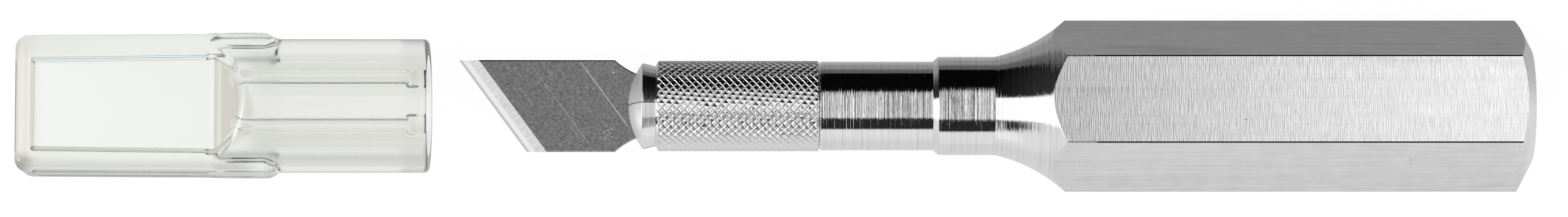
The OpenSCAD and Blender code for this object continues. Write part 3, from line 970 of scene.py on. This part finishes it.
def softbox(nodes, x, y, along):
    """A long panel over the knife: brightest in front, dim where the camera hides it, fading to the rear."""
    level = nodes.curve(along, -90, 90, [
        (-90, 0.95), (-13, 0.95), (-8, 0.5), (-5, 0.07), (1.1, 0.07), (2.3, 0.64), (5.4, 0.86), (6.6, 1.0),
        (12, 1.0), (22, 0.6), (30, 0.42), (50, 0.4),
    ])
    far_edge = nodes.curve(x, -1, 1, [
        (-1, 0.19), (-0.42, 0.31), (-0.3, 0.36), (-0.16, 0.62), (-0.02, 0.55), (0.03, 0.55), (0.1, 0.7),
        (0.16, 0.6), (0.3, 0.36), (0.47, 0.2), (0.6, 0.1),
    ])
    near_edge = nodes.curve(x, -1, 1, [
        (-1, 0.32), (-0.4, 0.53), (-0.02, 0.5), (0.03, 0.5), (0.1, 0.58), (0.2, 0.53),
    ])
    soft = 0.04
    within_far = nodes.step(nodes.math("SUBTRACT", far_edge, y), -soft, soft)
    within_near = nodes.step(nodes.math("ADD", near_edge, y), -soft, soft)
    return nodes.product(level, within_far, within_near, SOFTBOX_POWER)


def low_white(nodes, x, y, z):
    """White low down on the -Y side, which reaches higher at both ends and in two windows between them."""
    low = nodes.step(z, 0.48, 0.38)
    ends = nodes.highest(nodes.step(x, 0.44, 0.54), nodes.step(x, -0.62, -0.82))
    aside = nodes.size(x)
    windows = nodes.product(nodes.step(aside, 0.26, 0.32), nodes.step(aside, 0.44, 0.38))
    higher = nodes.product(nodes.step(z, 0.85, 0.7), nodes.highest(ends, windows))
    level = nodes.curve(x, -1, 1, [(-1, 0.7), (-0.6, 0.76), (-0.4, 0.95), (0, 0.74), (0.4, 0.5)])
    return nodes.product(nodes.highest(low, higher), nodes.step(y, 0.05, -0.1), level)


def seen_through_cap(nodes, x, y, z):
    """An even white, greyer low down, with two narrow cards low beside the cap: blue at +Y, green at -Y."""
    white = nodes.curve(z, -1, 1, [(0.0, 0.8), (0.25, 0.9), (0.5, 0.96)])
    narrow = nodes.curve(x, -1, 1, [(-0.18, 0), (-0.15, 1), (-0.08, 1), (-0.065, 0)])
    card = nodes.product(nodes.step(z, 0.5, 0.3), narrow)
    through = nodes.mix(nodes.product(nodes.step(y, 0.3, 0.6), card), white, BLUE_CARD)
    return nodes.mix(nodes.product(nodes.step(y, -0.3, -0.6), card), through, GREEN_CARD)


def make_world():
    world = bpy.data.worlds.new("studio")
    world.use_nodes = True
    nodes = Nodes(world.node_tree)
    rays = nodes.add("LightPath").outputs
    direction = nodes.add("TexCoord").outputs["Generated"]
    leaned = nodes.add("VectorRotate", {"Vector": direction, "Angle": -LEAN}, rotation_type="X_AXIS")
    x, y, z = nodes.add("SeparateXYZ", {0: leaned.outputs[0]}).outputs
    degrees = 180 / math.pi
    along = nodes.product(nodes.math("ARCTAN2", x, z), degrees)
    across = nodes.product(nodes.math("ARCTAN2", y, z), degrees)
    beside = nodes.curve(across, -180, 180, [(-65, 0.76), (-61.5, 0.02), (0, 0.02), (20, 0.002)])
    behind = nodes.product(nodes.step(x, 0.45, 0.55), nodes.step(y, 0.25, 0.35), 0.5)
    haze = nodes.curve(x, -1, 1, [(-1, 0.03), (-0.5, 0.009), (-0.3, 0.0)])
    haze = nodes.product(nodes.step(y, 0.1, 0.3), haze)
    off_middle = nodes.size(nodes.math("ADD", y, 0.11))
    front = nodes.product(nodes.step(x, -0.76, -0.88), nodes.step(off_middle, 0.22, 0.14), FRONT_POWER)
    over = softbox(nodes, x, y, along)
    sky = nodes.highest(over, beside, behind, low_white(nodes, x, y, z), haze, front)
    sky = nodes.mix(rays["Is Transmission Ray"], sky, seen_through_cap(nodes, x, y, z))
    sky = nodes.mix(rays["Is Camera Ray"], sky, (1, 1, 1, 1))
    background = nodes.add("Background", {"Color": sky, "Strength": 1.0})
    nodes.add("OutputWorld", {"Surface": background.outputs[0]})
    bpy.context.scene.world = world


def pale_floor():
    """White to the camera; what metal mirrors in it fades towards +Y, and the cap shows it almost even."""
    material = bpy.data.materials.new("pale_floor")
    material.use_nodes = True
    nodes = Nodes(material.node_tree)
    rays = nodes.add("LightPath").outputs
    along, across, _ = nodes.place()
    mirrored = nodes.curve(across, -100, 100, [
        (-100, 0.66), (-50, 0.62), (-30, 0.56), (-10, 0.56), (0, 0.62), (3, 0.54), (6, 0.42), (13, 0.32),
        (19, 0.24), (24, 0.16), (34, 0.17), (40, 0.15), (55, 0.05), (70, 0.0),
    ])
    mirrored = nodes.product(mirrored, nodes.curve(along, -100, 100, [(30, 1.0), (36, 1.13)]))
    through = nodes.curve(across, -100, 100, [
        (-30, 0.5), (-12, 0.66), (-9.8, 0.84), (-8.8, 0.9), (-5, 0.91), (12, 0.91), (30, 0.85),
    ])
    glow = nodes.mix(rays["Is Glossy Ray"], (0.92, 0.92, 0.92, 1), mirrored)
    glow = nodes.mix(rays["Is Transmission Ray"], glow, through)
    shown = nodes.math("ADD", rays["Is Camera Ray"], rays["Is Glossy Ray"], clamp=True)
    shown = nodes.math("ADD", shown, rays["Is Transmission Ray"], clamp=True)
    emission = nodes.add("Emission", {"Color": glow, "Strength": shown})
    paper = nodes.add("BsdfDiffuse", {"Color": (0.2, 0.2, 0.2, 1)})
    both = nodes.add("AddShader", {0: emission.outputs[0], 1: paper.outputs[0]})
    nodes.add("OutputMaterial", {"Surface": both.outputs[0]})
    return material


def make_floor():
    size = 3.0
    mesh = bpy.data.meshes.new("floor")
    corners = [(-size, -size, 0), (size, -size, 0), (size, size, 0), (-size, size, 0)]
    mesh.from_pydata(corners, [], [(0, 1, 2, 3)])
    floor = bpy.data.objects.new("floor", mesh)
    bpy.context.scene.collection.objects.link(floor)
    mesh.materials.append(pale_floor())


def make_camera():
    """Almost straight above the knife, framed as the photograph, which is 2576 by 356 pixels."""
    photo_w, photo_h = 2576, 356
    mm_per_px = 0.0776
    grip_middle_px, axis_px = 2132.2, 174
    distance = 850.0
    sensor = 36.0
    data = bpy.data.cameras.new("camera")
    data.sensor_width = sensor
    data.lens = sensor * distance / (photo_w * mm_per_px)
    data.clip_end = 20
    camera = bpy.data.objects.new("camera", data)
    x = (photo_w / 2 - grip_middle_px) * mm_per_px
    rise = (axis_px - photo_h / 2) * mm_per_px
    y = rise * math.cos(LEAN) - distance * math.sin(LEAN)
    z = AXIS_Z + rise * math.sin(LEAN) + distance * math.cos(LEAN)
    camera.location = (x * MM, y * MM, z * MM)
    camera.rotation_euler = (LEAN, 0, 0)
    bpy.context.scene.collection.objects.link(camera)
    bpy.context.scene.camera = camera


make_handle(bar_metal())
make_collar(knurl_metal())
make_collet(jaw_metal())
make_cap(clear_plastic())
make_blade(blade_steel())

make_world()
make_floor()
make_camera()
bpy.context.scene.view_settings.view_transform = "Standard"
